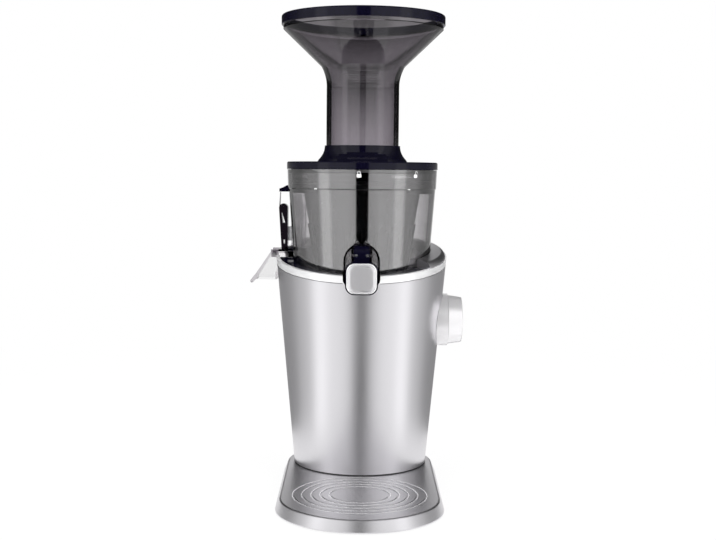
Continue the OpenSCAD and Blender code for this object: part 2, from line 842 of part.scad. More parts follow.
module juicing_chamber() color("gainsboro", 0.4) {
    outer = [[0, bowl_z], [bowl_r, bowl_z], [bowl_top_r, band_z], [band_r, band_z + 0.6], [rim_r, rim_z]];
    inner = [[rim_r - bowl_wall, rim_z + 1], [band_r - bowl_wall, band_z + 1.2],
             [bowl_top_r - bowl_wall, band_z - 0.4], [bowl_r_at(floor_z) - bowl_wall, floor_z],
                 [0, floor_z]];
    difference() {
        union() {
            difference() {
                rotate_extrude() polygon(outer);
                rotate_extrude() polygon(concat([[0, rim_z + 1]], inner));
            }
            translate([0, 0, bowl_z]) cylinder(h = bowl_floor + sleeve_h, r = sleeve_r);
            for (a = [158, 172, 186, 200]) rotate([0, 0, a])
                translate([strainer_r + 3.5, -0.8, floor_z + 30]) cube([8.5, 1.6, band_z - floor_z - 36]);
        }
        translate([0, 0, bowl_z - 1]) cylinder(h = far, r = shaft_r + 2.4);
        juice_channel(bowl_r / 2 + 18, bowl_r + 10);
        duct_space(-bowl_r - 10, -bowl_r / 2 - 18);
        translate([-bowl_r - 20, duct_y - plug_w / 2 - gap, plug_z - plug_h / 2 - gap])
            cube([40, plug_w + 2 * gap, plug_h + 2 * gap]);
    }
    for (a = lug_angles) rotate([0, 0, a]) rotate_extrude(angle = lug_sweep)
        polygon([[band_r - bowl_wall + 0.3, lug_z], [band_r - bowl_wall - 1.2, lug_z],
                 [band_r - bowl_wall - 1.2, lug_z + 2], [band_r - bowl_wall + 0.5, lug_z + 2.6]]);
}

lug_z = rim_z - 7.8;
lug_sweep = 22;
lug_angles = [22, 112, 202, 292];

module chamber_gasket() color("silver") {
    tube(floor_z, floor_z + 3, sleeve_r + 3, sleeve_r + 0.02);
}

module outer_strainer() color("gray", 0.7) {
    z0 = floor_z;
    top = basket_z;
    flange_h = 3.6;
    slope = atan(strainer_taper);
    difference() {
        union() {
            cone(z0, top, strainer_r_at(z0), strainer_r_at(top));
            tube(top - flange_h, top, bowl_r_at(top - flange_h) - bowl_wall - gap, strainer_r - 1);
            for (i = [0:rib_n - 1]) rotate([0, 0, (i + 0.5) * 360 / rib_n])
                translate([strainer_r_at(z0 + 5), 0, z0 + 5]) rotate([0, slope, 0])
                    strainer_rib(rib_top - z0 - 5);
        }
        cone(z0 - 1, top + 1, strainer_r_at(z0 - 1) - strainer_wall,
            strainer_r_at(top + 1) - strainer_wall);
        for (i = [0:rib_n - 1]) rotate([0, 0, i * 360 / rib_n])
            translate([strainer_r / 2, -slit_w / 2, z0 + 26])
                cube([strainer_r, slit_w, rib_top - z0 - 34]);
        duct_space(-bowl_r, -strainer_r_at(floor_z) / 2);
    }
}

// One rib, flat backed, with a round head
module strainer_rib(h) {
    translate([-strainer_wall / 2, -rib_w / 2, 0])
        cube([strainer_wall / 2 + rib_out, rib_w, h - rib_w / 2]);
    translate([-strainer_wall / 2, 0, h - rib_w / 2]) rotate([0, 90, 0])
        cylinder(h = strainer_wall / 2 + rib_out, d = rib_w, $fn = 24);
}

module inner_strainer() color("gray") {
    z0 = floor_z;
    top = basket_z;
    difference() {
        union() {
            cone(z0, top, inner_r_at(z0), inner_r_at(top));
            translate([0, 0, top]) cylinder(h = 2, r = strainer_r + 4);
        }
        cone(z0 - 1, top + 3, inner_r_at(z0 - 1) - strainer_wall, inner_r_at(top + 3) - strainer_wall);
        for (i = [0:rib_n - 1]) rotate([0, 0, i * 360 / rib_n])
            translate([strainer_r / 2, -slit_w / 2, z0 + 26])
                cube([strainer_r, slit_w, rib_top - z0 - 26]);
        duct_space(-bowl_r, -inner_r_at(floor_z) / 2);
    }
}

/* Screw -------------------------------------------------------------- */
screw_z = floor_z + 3 + gap;
screw_foot = 6;
screw_head = rim_z - 16.8;
screw_pin_r = 4;
screw_pin_top = rim_z - 2.3;
flight_steps = 56;

function core_r_at(z) = core_r + (core_top_r - core_r) * pow((z - screw_z) / (screw_head - screw_z),
    0.85);

// Corner points of a flight's section at step i: root low, root high, tip high, tip low
function flight_ring(i) =
    let (u = i / flight_steps, z = screw_z + 3 + u * (screw_head - screw_z - 14),
         a = u * 360 * flight_turns, r0 = core_r_at(z) - 1.5, r1 = screw_r_at(z) - 5 * pow(u, 6))
    [[r0 * cos(a), r0 * sin(a), z], [r0 * cos(a), r0 * sin(a), z + flight_t],
     [r1 * cos(a), r1 * sin(a), z + flight_t * 0.75], [r1 * cos(a), r1 * sin(a), z + flight_t * 0.25]];

module flight() {
    rings = [for (i = [0:flight_steps]) each flight_ring(i)];
    last = 4 * flight_steps;
    sides = [for (i = [0:flight_steps - 1], k = [0:3]) let (p = 4 * i + k, q = 4 * i + (k + 1) % 4)
             each [[p, p + 4, q], [q, p + 4, q + 4]]];
    ends = [[0, 1, 2], [0, 2, 3], [last + 2, last + 1, last], [last + 3, last + 2, last]];
    polyhedron(rings, concat(sides, ends));
}

module auger() color("whitesmoke") {
    z0 = screw_z;
    core_z = z0 + screw_foot;
    core = [for (i = [1:10]) let (z = core_z + (screw_head - core_z) * i / 10) [core_r_at(z), z]];
    profile = concat([[0, z0], [screw_r_at(z0) - 1, z0], [screw_r_at(z0) - 1, z0 + 2],
        [core_r_at(z0 + screw_foot) + 0.5, z0 + screw_foot]],
                     core, [[core_top_r - 4, screw_head + 1.5], [screw_pin_r, screw_head + 2],
                         [screw_pin_r, screw_pin_top], [0, screw_pin_top]]);
    difference() {
        union() {
            rotate_extrude() polygon(profile);
            for (k = [0:flight_n - 1]) rotate([0, 0, k * 360 / flight_n]) flight();
        }
        translate([0, 0, z0 - 1]) cylinder(h = hex_z - z0 + 1 + gap, r = sleeve_r + 1);
        translate([0, 0, hex_z - 1]) cylinder(h = hex_h + 1 + gap, d = (hex_af + 2 * gap) / cos(30),
            $fn = 6);
    }
}

/* Juice spout and cap ------------------------------------------------- */
cheek_t = 2;
cap_back = spout_y + 1.6;

module arch(w, top, z0) {
    r = w / 2;
    translate([-r, z0]) square([w, top - r - z0]);
    translate([0, top - r]) circle(r);
}

module juice_spout() color("gray", 0.6) {
    cheek_x = arm_w / 2 + gap;
    room_z = channel_z + channel_h + spout_wall;
    difference() {
        upright(-spout_y, spout_y - bowl_r / 2) intersection() {
            arch(spout_w, spout_top, bowl_z + 0.4);
            rounded_strip(spout_w, bowl_z + 0.4, notch_round - 2 * gap);
        }
        cone(bowl_z - 1, band_z, bowl_r_at(bowl_z - 1) + 0.05, bowl_r_at(band_z) + 0.05);
        difference() {
            upright(-far, far) intersection() {
                arch(spout_w - 2 * spout_wall, spout_top - spout_wall, room_z);
                translate([-far / 2, room_z]) square([far, far]);
            }
            for (s = [-1, 1]) translate([s * (cheek_x + cheek_t / 2) - cheek_t / 2, -far, 0])
                cube([cheek_t, far, far]);
            cone(bowl_z - 1, band_z, bowl_r_at(bowl_z - 1) + spout_wall, bowl_r_at(band_z) + spout_wall);
        }
        translate([-cheek_x, -far, room_z]) cube([2 * cheek_x, far - cap_pin_y + 13, far]);
        juice_channel(bowl_r / 2, far);
        translate([0, -cap_pin_y, cap_pin_z]) rotate([0, 90, 0]) cylinder(h = far, r = cap_pin_r + 0.02,
            center = true);
    }
}

module cap_pin() color("lightgray") {
    w = arm_w + 2 * gap + 2 * cheek_t;
    translate([-w / 2, -cap_pin_y, cap_pin_z]) rotate([0, 90, 0]) cylinder(h = w, r = cap_pin_r);
}

module cap_body() color("black") {
    body_t = cap_t - cap_plate_t;
    difference() {
        union() {
            upright(-cap_back - body_t, body_t) translate([0, cap_z]) round_square(cap_w, cap_round);
            difference() {
                translate([-arm_w / 2, -cap_back - 2, cap_z])
                    cube([arm_w, cap_back + 2 - cap_pin_y, cap_pin_z - cap_z]);
                translate([-arm_w, -cap_back, 0])
                    cube([2 * arm_w, far, channel_z + channel_h + spout_wall + 1]);
            }
            translate([-arm_w / 2, -cap_pin_y, cap_pin_z]) rotate([0, 90, 0])
                cylinder(h = arm_w, r = cap_back + 2 - cap_pin_y);
            translate([-arm_w / 2, -cap_pin_y - 2.4, cap_pin_z]) cube([arm_w, 4.8, 9]);
        }
        upright(-cap_back - 1.2, 3) translate([0, cap_z]) round_square(cap_w - 3, cap_round - 1.5);
        translate([0, -cap_pin_y, cap_pin_z]) rotate([0, 90, 0]) cylinder(h = far, r = cap_pin_r + run,
            center = true);
        for (s = [-1, 1]) translate([s * stud_x, 0, stud_z]) rotate([90, 0, 0])
            cylinder(h = far, r = stud_r);
    }
}

stud_x = 5.2;
stud_z = cap_pin_z + 0.4;
stud_r = 1.5;

module cap_plate() color("silver") {
    w = cap_w - 2.2;
    upright(-cap_back - cap_t, cap_plate_t - 1) translate([0, cap_z])
        round_square(w - 1.6, cap_round - 1.9);
    upright(-cap_back - cap_t + 0.9, cap_plate_t - 0.9) translate([0, cap_z])
        round_square(w, cap_round - 1.1);
}

module cap_studs() color("gray") {
    front = cap_back + 2;
    for (s = [-1, 1]) translate([s * stud_x, -cap_pin_y - 3, stud_z]) rotate([90, 0, 0]) {
        cylinder(h = front - cap_pin_y - 3, r = stud_r - 0.02);
        translate([0, 0, front - cap_pin_y - 3]) cylinder(h = 0.7, r1 = stud_r, r2 = stud_r - 0.5);
    }
}

module cap_seal() color("silver") {
    upright(-cap_back - 1.2, 1.2 + cap_back - spout_y - gap) translate([0, cap_z])
        round_square(cap_w - 3.2, cap_round - 1.6);
}

/* Pulp outlet ---------------------------------------------------------- */
chute_in = body_top_r + 1.2;
pivot_x = body_top_r + 2.4;
pivot_z = duct_top - 2.8;
hood_x = -pivot_x - 3.4;
lever_in = bowl_top_r + 1.6;
lever_t = 8.8;
lever_out = lever_in + lever_t;

module pulp_chute() color("white", 0.35) {
    y0 = duct_y - duct_w / 2;
    lip = 1.7;
    difference() {
        union() {
            upright(y0, duct_w) polygon([[-bowl_r / 2, duct_floor], [-chute_in + 1.6, duct_floor],
                [-chute_in + 1.6, mouth_z],
                [-mouth_x, mouth_z], [-mouth_x, mouth_z + 3], [hood_x, duct_top],
                    [-bowl_r / 2, duct_top]]);
            translate([-mouth_x - 0.6, y0 - 0.8, mouth_z])
                cube([mouth_x + 0.6 - chute_in + 1.6, duct_w + 1.6, 2.2]);
            translate([-mouth_x - 0.6, y0 - 1.2, mouth_z]) rotate([0, 38, 0]) upright(0, duct_w + 2.4)
                polygon(concat(arc(0, 3, lip, 0, 180, 10), arc(0, -2.4, lip, 180, 360, 10)));
        }
        upright(y0 + chute_wall, duct_w - 2 * chute_wall) polygon([
            [-bowl_r / 2 + 1, duct_floor + chute_wall], [-chute_in, duct_floor + chute_wall],
                [-chute_in, mouth_z - 1],
            [-mouth_x + 3.2, mouth_z - 1], [-mouth_x + 3.2, mouth_z + 2],
                [hood_x + 1, duct_top - chute_wall],
            [-bowl_r / 2 + 1, duct_top - chute_wall]]);
        cone(bowl_z - 1, band_z, bowl_r_at(bowl_z - 1) + 0.02, bowl_r_at(band_z) + 0.02);
    }
}

module lever_pins() color("lightgray") {
    for (s = [-1, 1]) translate([-pivot_x, duct_y + s * (duct_w / 2 + 0.01), pivot_z])
        rotate([s * -90, 0, 0]) cylinder(h = duct_side + gap - 0.2, r = lever_pin_r);
}

module pulp_hook() color("black") {
    w = 7;
    r = bowl_r_at(band_z - 1);
    difference() {
        upright(duct_y - w / 2, w) polygon([[-r + 8, band_z - 3.4], [-lever_out, band_z - 3.4],
            [-lever_out, band_z - 0.4],
            [-lever_out + 3.4, band_z + 0.8], [-lever_in - 1.4, band_z + 3], [-r + 8, band_z + 4]]);
        cone(band_z - 10, band_z, bowl_r_at(band_z - 10) + 0.02, bowl_r_at(band_z) + 0.02);
        cone(band_z, rim_z, band_r + 0.02, rim_r + 0.02);
    }
}

module pulp_lever() color("dimgray", 0.8) {
    foot_z = duct_top + gap;
    foot_out = lever_out - 2.8;
    ear_y = duct_w / 2 + gap;
    upright(duct_y - lever_w / 2, lever_w) difference() {
        union() {
            polygon([[-lever_out, lever_top - 4], [-foot_out, foot_z], [-lever_in, foot_z],
                [-lever_in, lever_top - 4]]);
            translate([-lever_out, lever_top - 4]) square([lever_t, 1]);
            translate([-lever_in - lever_t / 2, lever_top - 4]) circle(lever_t / 2);
        }
        polygon([[-foot_out, lever_top - 10], [-foot_out + 0.2, lever_top - 8],
            [-lever_in - 2.6, lever_top - 19],
                 [-lever_in - 5, lever_top - 19]]);
        polygon([[-lever_in - 4.4, lever_top - 36], [-lever_in - 2.8, lever_top - 36],
                 [-lever_in - 2.8, lever_top - 40], [-lever_in - 4, lever_top - 40]]);
    }
    upright(duct_y - lever_w / 2 + 3, lever_w - 6)
        polygon([[-lever_out, lever_top - 4], [-lever_out + 0.8, lever_top - 4],
        [-lever_out + 1.4, band_z - 3.4 - gap], [-lever_out + 1, band_z - 3.4 - gap]]);
    translate([-lever_out + 0.2, duct_y - ear_y - duct_side, foot_z])
        cube([lever_t - 1.8, 2 * (ear_y + duct_side), 2.2]);
    for (s = [-1, 1]) translate([0, duct_y + s * (ear_y + duct_side / 2) - duct_side / 2, 0])
        difference() {
        union() {
            translate([-pivot_x - 3.2, 0, foot_z]) cube([12, duct_side, 1.8]);
            translate([-pivot_x - 2.7, 0, pivot_z - 2.6]) cube([5.4, duct_side, foot_z - pivot_z + 3]);
        }
        translate([-pivot_x, -1, pivot_z]) rotate([-90, 0, 0]) cylinder(h = duct_side + 2,
            r = lever_pin_r + run);
    }
}

module pulp_packing() color("silver") {
    translate([-lever_in + 0.01, duct_y - plug_w / 2, plug_z - plug_h / 2])
        cube([lever_in - bowl_r_at(plug_z) + 2.2, plug_w, plug_h]);
}

/* Lid ----------------------------------------------------------------- */
lid_z = rim_z + gap;
lid_top = lid_z + lid_h;
ledge_z = lid_z - 1;
skirt_z = lug_z - 2.2 - 2 * gap;
bush_hole = screw_pin_r + 1.6;

module lid() color("black") {
    collar_in = tube_r + gap;
    flare = collar_r - (collar_in + 1.2);
    skirt_r = band_r - bowl_wall - 1.2 - gap;
    outer = concat([[collar_in, ledge_z + 3], [collar_in, collar_z], [collar_in + 1.2, collar_z]],
                   [for (i = [1:8]) let (u = i / 8) [collar_in + 1.2 + flare * pow(u, 2.2),
                       collar_z - (collar_z - lid_top - 2.5) * u]],
                   [[collar_r + 1.5, lid_top], [lid_r - 1, lid_top], [lid_r, lid_top - 1],
                       [lid_r, lid_z]],
                   [[skirt_r + lid_wall - 1, lid_z], [skirt_r, lid_z - 0.5], [skirt_r, skirt_z],
                       [skirt_r - lid_wall, skirt_z],
                    [skirt_r - lid_wall, lid_top - lid_wall], [collar_in + lid_wall, lid_top - lid_wall],
                    [collar_in + lid_wall, ledge_z], [tube_r - tube_wall - 2, ledge_z],
                        [tube_r - tube_wall - 2, ledge_z + 3]]);
    rotate_extrude() polygon(outer);
    for (a = [90, 210, 330]) rotate([0, 0, a]) translate([bush_hole + 1.5, -2.5, ledge_z - 3])
        cube([tube_r - tube_wall - bush_hole - 2, 5, 6]);
    tube(ledge_z - 3, ledge_z + 3, bush_hole + 3, bush_hole + 0.02);
    for (a = lug_angles) rotate([0, 0, a + 6]) rotate_extrude(angle = 10)
        polygon([[skirt_r - 1, skirt_z], [skirt_r + 1.1, skirt_z], [skirt_r + 1.1, skirt_z + 2.2],
            [skirt_r - 1, skirt_z + 2.2]]);
}

module lid_gasket() color("silver") {
    skirt_r = band_r - bowl_wall - 1.2 - gap;
    tube(lid_z - 3.6, lid_z - 1.6, rim_r - bowl_wall - gap - 0.4, skirt_r + 0.02);
}

module lid_bush() color("gray") {
    tube(ledge_z - 3, ledge_z + 3, bush_hole, screw_pin_r + run);
}

/* Hopper ---------------------------------------------------------------- */
tube_z = ledge_z + 3 + gap;

module hopper_funnel() color("gray", 0.6) {
    t = tube_wall;
    bend = [for (i = [0:8]) let (u = i / 8) [tube_r + (neck_r - tube_r) * pow(u, 2),
        bend_z + (neck_z - bend_z) * u]];
    inside = [for (i = [8:-1:0]) [bend[i][0] - t, bend[i][1] + t * 0.3]];
    rotate_extrude() polygon(concat([[tube_r - t, tube_z], [tube_r, tube_z]], bend,
        [[hopper_r - 1.8, hopper_z - lip_h], [hopper_r - 1.8, hopper_z + 1.5],
            [hopper_r - 4.4, hopper_z + 1.5],
         [hopper_r - 4.4, hopper_z - lip_h + 1.2]], inside));
}

module hopper_rim() color("black") {
    z1 = hopper_z + 1.5;
    rotate_extrude() polygon(concat([[hopper_r - 1.7, hopper_z], [hopper_r - 0.4, hopper_z],
        [hopper_r, hopper_z + 0.6]],
        arc(hopper_r - 2, total_h - 2, 2, 0, 90, 6), [[hopper_r - 3.4, total_h - 0.3],
            [hopper_r - 6, z1 + 1.5],
        [hopper_r - 6, z1], [hopper_r - 1.7, z1]]));
}

base_cover();
bottom_plate();
feet();
bottom_screws();
body_shell();
top_trim();
inner_deck();
deck_shoulder();
switch_boss();
rotary_switch();
chassis();
motor_stator();
motor_bearings();
gearbox_lower();
gearbox_upper();
gearbox_screws();
idler_axle();
output_bushes();
shaft_seal();
cord_gland();
circuit_board();
drive_shaft();
output_gear();
idler_gear();
motor_rotor();
motor_pinion();
motor_fan();
control_knob();
knob_spindle();
juicing_chamber();
chamber_gasket();
outer_strainer();
inner_strainer();
juice_spout();
cap_pin();
pulp_chute();
pulp_hook();
lever_pins();
auger();
cap_body();
cap_plate();
cap_studs();
cap_seal();
pulp_lever();
pulp_packing();
lid();
lid_gasket();
lid_bush();
hopper_funnel();
hopper_rim();
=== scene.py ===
import json
import math

import bmesh
import bpy
from mathutils import Matrix, Vector


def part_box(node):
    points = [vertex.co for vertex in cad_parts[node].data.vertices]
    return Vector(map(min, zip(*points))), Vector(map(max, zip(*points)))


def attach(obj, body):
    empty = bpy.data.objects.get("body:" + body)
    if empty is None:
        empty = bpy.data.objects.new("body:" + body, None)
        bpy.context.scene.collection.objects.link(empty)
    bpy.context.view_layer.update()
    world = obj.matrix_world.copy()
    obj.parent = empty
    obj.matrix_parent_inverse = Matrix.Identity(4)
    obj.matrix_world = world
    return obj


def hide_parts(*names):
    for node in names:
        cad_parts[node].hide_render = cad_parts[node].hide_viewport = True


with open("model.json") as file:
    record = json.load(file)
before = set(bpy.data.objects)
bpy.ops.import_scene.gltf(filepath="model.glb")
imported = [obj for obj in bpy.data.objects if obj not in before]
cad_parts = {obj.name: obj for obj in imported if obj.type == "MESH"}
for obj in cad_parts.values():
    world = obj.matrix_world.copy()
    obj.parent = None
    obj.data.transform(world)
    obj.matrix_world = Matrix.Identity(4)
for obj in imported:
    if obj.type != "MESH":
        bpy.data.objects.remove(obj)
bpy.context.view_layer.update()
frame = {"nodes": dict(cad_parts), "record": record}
NODES = frame["nodes"]
MM = 0.001


# Materials ------------------------------------------------------------------

def remap(tree, source, low, high, start=0.0, end=1.0):
    """The source's values from start to end, set out from low to high. Low may be a node's output too."""
    made = tree.nodes.new("ShaderNodeMapRange")
    for key, value in (("From Min", start), ("From Max", end), ("To Max", high)):
        made.inputs[key].default_value = value
    if isinstance(low, bpy.types.NodeSocket):
        tree.links.new(low, made.inputs["To Min"])
    else:
        made.inputs["To Min"].default_value = low
    tree.links.new(source, made.inputs["Value"])
    return made.outputs["Result"]


class Surface:
    """A Principled material with helpers for its procedural detail, in object coordinates (metres)."""

    def __init__(self, name, color, roughness, metallic=0.0, ior=1.5, transmission=0.0, coat=0.0):
        self.name = name
        self.material = bpy.data.materials.new(name)
        self.material.use_nodes = True
        self.tree = self.material.node_tree
        self.shader = self.tree.nodes["Principled BSDF"]
        self.color = color
        self.roughness = roughness
        self.height = None
        inputs = self.shader.inputs
        inputs["Base Color"].default_value = (*color, 1)
        inputs["Roughness"].default_value = roughness
        inputs["Metallic"].default_value = metallic
        inputs["IOR"].default_value = ior
        inputs["Transmission Weight"].default_value = transmission
        inputs["Coat Weight"].default_value = coat
        inputs["Coat Roughness"].default_value = 0.03
        self.place = self.node("ShaderNodeTexCoord").outputs["Object"]

    def node(self, kind, **values):
        made = self.tree.nodes.new(kind)
        for key, value in values.items():
            setattr(made, key, value)
        return made

    def link(self, source, target):
        self.tree.links.new(source, target)

    def stretched(self, scale):
        """The object coordinates, scaled by a different number along each axis."""
        mapping = self.node("ShaderNodeMapping")
        mapping.inputs["Scale"].default_value = scale
        self.link(self.place, mapping.inputs["Vector"])
        return mapping.outputs["Vector"]

    def noise(self, scale, detail, stretch=(1, 1, 1)):
        made = self.node("ShaderNodeTexNoise")
        made.inputs["Scale"].default_value = scale
        made.inputs["Detail"].default_value = detail
        self.link(self.stretched(stretch), made.inputs["Vector"])
        return made.outputs["Fac"]

    def spread(self, source, low, high):
        """A noise, which keeps mostly between 0.3 and 0.7, set out from low to high."""
        return remap(self.tree, source, low, high, 0.3, 0.7)

    def mottle(self, source, depth):
        """Colour variation: the base colour, darkened by up to depth where the source is low."""
        made = self.node("ShaderNodeMix", data_type="RGBA")
        made.inputs["A"].default_value = (*[c * (1 - depth) for c in self.color], 1)
        made.inputs["B"].default_value = (*self.color, 1)
        self.link(self.spread(source, 0, 1), made.inputs["Factor"])
        self.link(made.outputs["Result"], self.shader.inputs["Base Color"])

    def uneven_gloss(self, source, amount):
        """Roughness that goes up and down by the amount."""
        self.link(self.spread(source, self.roughness - amount, self.roughness + amount),
                  self.shader.inputs["Roughness"])

    def relief(self, source, depth):
        """Bump of the given depth in metres."""
        made = self.node("ShaderNodeBump")
        made.inputs["Strength"].default_value = 1.0
        made.inputs["Distance"].default_value = depth
        self.link(source, made.inputs["Height"])
        if self.height is not None:
            self.link(self.height, made.inputs["Normal"])
        self.height = made.outputs["Normal"]
        self.link(self.height, self.shader.inputs["Normal"])

    def absorb(self, density, color):
        """Tint that grows with the thickness of the wall."""
        made = self.node("ShaderNodeVolumeAbsorption")
        made.inputs["Color"].default_value = (*color, 1)
        made.inputs["Density"].default_value = density
        self.link(made.outputs["Volume"], self.tree.nodes["Material Output"].inputs["Volume"])


def satin_silver(name="silver_paint", color=(0.77, 0.76, 0.785), metallic=1.0):
    look = Surface(name, color, 0.34, metallic=metallic)
    flakes = look.noise(5200, 2)
    look.mottle(flakes, 0.06)
    look.uneven_gloss(look.noise(900, 3), 0.03)
    look.relief(flakes, 0.0000004)
    return look


def bright_metal():
    look = Surface("bright_trim", (0.92, 0.92, 0.93), 0.2, metallic=0.55)
    brushed = look.noise(60, 4, stretch=(1, 1, 40))
    look.mottle(brushed, 0.05)
    look.uneven_gloss(brushed, 0.03)
    return look


def gloss_black():
    look = Surface("gloss_black", (0.0035, 0.003, 0.011), 0.06, ior=1.32)
    look.mottle(look.noise(300, 3), 0.3)
    look.uneven_gloss(look.noise(140, 4), 0.015)
    return look


def moulded_black():
    look = Surface("black_plastic", (0.035, 0.035, 0.037), 0.45)
    grain = look.noise(1800, 3)
    look.mottle(grain, 0.25)
    look.uneven_gloss(grain, 0.06)
    look.relief(grain, 0.00002)
    return look


def foot_rubber():
    look = Surface("rubber", (0.022, 0.022, 0.022), 0.75)
    grain = look.noise(1200, 4)
    look.mottle(grain, 0.3)
    look.uneven_gloss(grain, 0.08)
    look.relief(grain, 0.00004)
    return look


def milky_silicone():
    look = Surface("silicone", (0.52, 0.52, 0.53), 0.4)
    cloud = look.noise(250, 3)
    look.mottle(cloud, 0.12)
    look.uneven_gloss(cloud, 0.06)
    return look


def clear_tint(name, density, coat=0.0, coat_ior=1.5):
    """Clear plastic with a grey tint of slight violet."""
    look = Surface(name, (1, 1, 1), 0.03, transmission=1.0, ior=1.49, coat=coat)
    look.shader.inputs["Coat IOR"].default_value = coat_ior
    look.absorb(density, (0.07, 0.0, 0.08))
    wave = look.noise(45, 2)
    look.uneven_gloss(wave, 0.012)
    look.relief(wave, 0.00003)
    return look


def strainer_grey():
    look = Surface("strainer_grey", (0.009, 0.008, 0.012), 0.3, ior=1.35)
    grain = look.noise(400, 3)
    look.mottle(grain, 0.2)
    look.uneven_gloss(grain, 0.04)
    return look


def screw_plastic():
    look = Surface("screw_plastic", (0.10, 0.095, 0.10), 0.35)
    grain = look.noise(700, 3)
    look.mottle(grain, 0.2)
    look.uneven_gloss(grain, 0.06)
    look.relief(grain, 0.00001)
    return look


def machined_steel():
    look = Surface("steel", (0.62, 0.62, 0.63), 0.25, metallic=1.0)
    turned = look.noise(50, 3, stretch=(1, 1, 60))
    look.mottle(turned, 0.15)
    look.uneven_gloss(turned, 0.06)
    return look


def motor_iron():
    look = Surface("motor_iron", (0.30, 0.30, 0.31), 0.5, metallic=1.0)
    plates = look.noise(30, 2, stretch=(1, 1, 120))
    look.mottle(plates, 0.3)
    look.relief(plates, 0.00005)
    return look


def cast_metal():
    look = Surface("gearbox_metal", (0.48, 0.49, 0.5), 0.5, metallic=1.0)
    grain = look.noise(900, 4)
    look.mottle(grain, 0.2)
    look.relief(grain, 0.00005)
    return look


def gear_plastic():
    look = Surface("gear_plastic", (0.72, 0.68, 0.56), 0.4)
    grain = look.noise(500, 3)
    look.mottle(grain, 0.12)
    look.uneven_gloss(grain, 0.05)
    return look


def sintered_bronze():
    look = Surface("bronze", (0.55, 0.34, 0.17), 0.4, metallic=1.0)
    grain = look.noise(2500, 3)
    look.mottle(grain, 0.3)
    look.relief(grain, 0.00002)
    return look


def board_green():
    look = Surface("board_green", (0.02, 0.13, 0.06), 0.4)
    tracks = look.noise(420, 1)
    look.mottle(tracks, 0.4)
    look.uneven_gloss(tracks, 0.08)
    return look


LOOKS = {look.name: look.material for look in (
    satin_silver(), bright_metal(), gloss_black(), moulded_black(), foot_rubber(), milky_silicone(),
    clear_tint("smoked_light", 90, coat=1.0, coat_ior=2.35), clear_tint("smoked_dark", 310),
    clear_tint("clear_plastic", 18),
    strainer_grey(), screw_plastic(), machined_steel(), motor_iron(), cast_metal(), gear_plastic(),
    sintered_bronze(), board_green())}
# Paler silvers for pieces that face the side lights: painted light, lit copies of the silver paint that are
# paler and less metallic so these pieces show brighter
KNOB_SILVER_PAINTED_LIGHT = satin_silver("knob_silver_painted_light", (0.92, 0.91, 0.925), 0.7).material
BOSS_SILVER_PAINTED_LIGHT = satin_silver("boss_silver_painted_light", (0.9, 0.89, 0.905), 0.7).material
CAP_SILVER_PAINTED_LIGHT = satin_silver("cap_silver_painted_light", (0.86, 0.85, 0.875), 0.86).material
PAINTED_LIGHT_LOOKS = {"control_knob": KNOB_SILVER_PAINTED_LIGHT, "switch_boss": BOSS_SILVER_PAINTED_LIGHT}
CAD_EDGE = math.radians(28)


def dress_nodes():
    slot_of = {row["node"]: row["material_slot"] for row in frame["record"]["subparts"]}
    for name, item in NODES.items():
        item.data.materials.clear()
        item.data.materials.append(PAINTED_LIGHT_LOOKS.get(name, LOOKS[slot_of[name]]))
        for face in item.data.polygons:
            face.use_smooth = True
        item.data.set_sharp_from_angle(angle=CAD_EDGE)


# Sizes of the shapes that the pieces below follow, in millimetres --------------

# The body is a cone up to a slanted top, which lies at BODY_TOP on the axis, and a bright trim runs under it
BASE_TOP = 11.8
BODY_TOP = 220.5
BODY_R = 66.0
BODY_TOP_R = 85.2
SLANT = math.radians(9.9)
TRIM_H = 7.2
# The chamber's band
BAND_Z = 286.7
BAND_R = 73.7
RIM_Z = 305.8
RIM_R = 74.5
# Where the bright trim stops: on both sides of the juice spout in front, and of the pulp duct on the left
NOTCH_HALF = 17.9
DUCT_Y = 15.4
DUCT_HALF = 17.6
TRIM_R = 84.0
# The marks on the band
LOCK_Z = 301.6
ALIGN_FOOT, ALIGN_TOP = 286.9, 287.7
# The drip rings on the base, from the innermost out
RING_Y = -132.0
RING_R = 27.9
RING_STEP = 8.3
RING_COUNT = 5


def body_radius(z):
    return BODY_R + (BODY_TOP_R - BODY_R) * (z - BASE_TOP) / (BODY_TOP - BASE_TOP)


def band_radius(z):
    return BAND_R + (RIM_R - BAND_R) * (z - BAND_Z) / (RIM_Z - BAND_Z)


def slant_height(azimuth, drop):
    """Height at which the body's cone meets the slanted top, moved down by drop."""
    slope = (BODY_TOP_R - BODY_R) / (BODY_TOP - BASE_TOP)
    lean = math.tan(SLANT) * math.cos(azimuth)
    return (BODY_TOP - drop - lean * (BODY_R - slope * BASE_TOP)) / (1 + lean * slope)


def around(radius, azimuth, z, centre_y=0.0):
    """A point in metres, at an azimuth from the front round an upright axis at x = 0."""
    return Vector((radius * math.sin(azimuth), centre_y - radius * math.cos(azimuth), z)) * MM


def on_body(azimuth, z, out):
    return around(body_radius(z) + out, azimuth, z)


def on_band(azimuth, z, out):
    return around(band_radius(z) + out, azimuth, z)


# Pieces ----------------------------------------------------------------------

PIECE_EDGE = math.radians(35)


def add_mesh(name, points, faces, look, body, slot, smooth=True):
    """A piece that rides on a body, with its faces turned outward."""
    mesh = bpy.data.meshes.new(name)
    mesh.from_pydata([tuple(p) for p in points], [], faces)
    mesh.validate()
    made = bmesh.new()
    made.from_mesh(mesh)
    bmesh.ops.recalc_face_normals(made, faces=made.faces)
    made.to_mesh(mesh)
    made.free()
    mesh.materials.append(look)
    for face in mesh.polygons:
        face.use_smooth = smooth
    if smooth:
        mesh.set_sharp_from_angle(angle=PIECE_EDGE)
    item = bpy.data.objects.new(name, mesh)
    bpy.context.scene.collection.objects.link(item)
    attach(item, body)
    return item


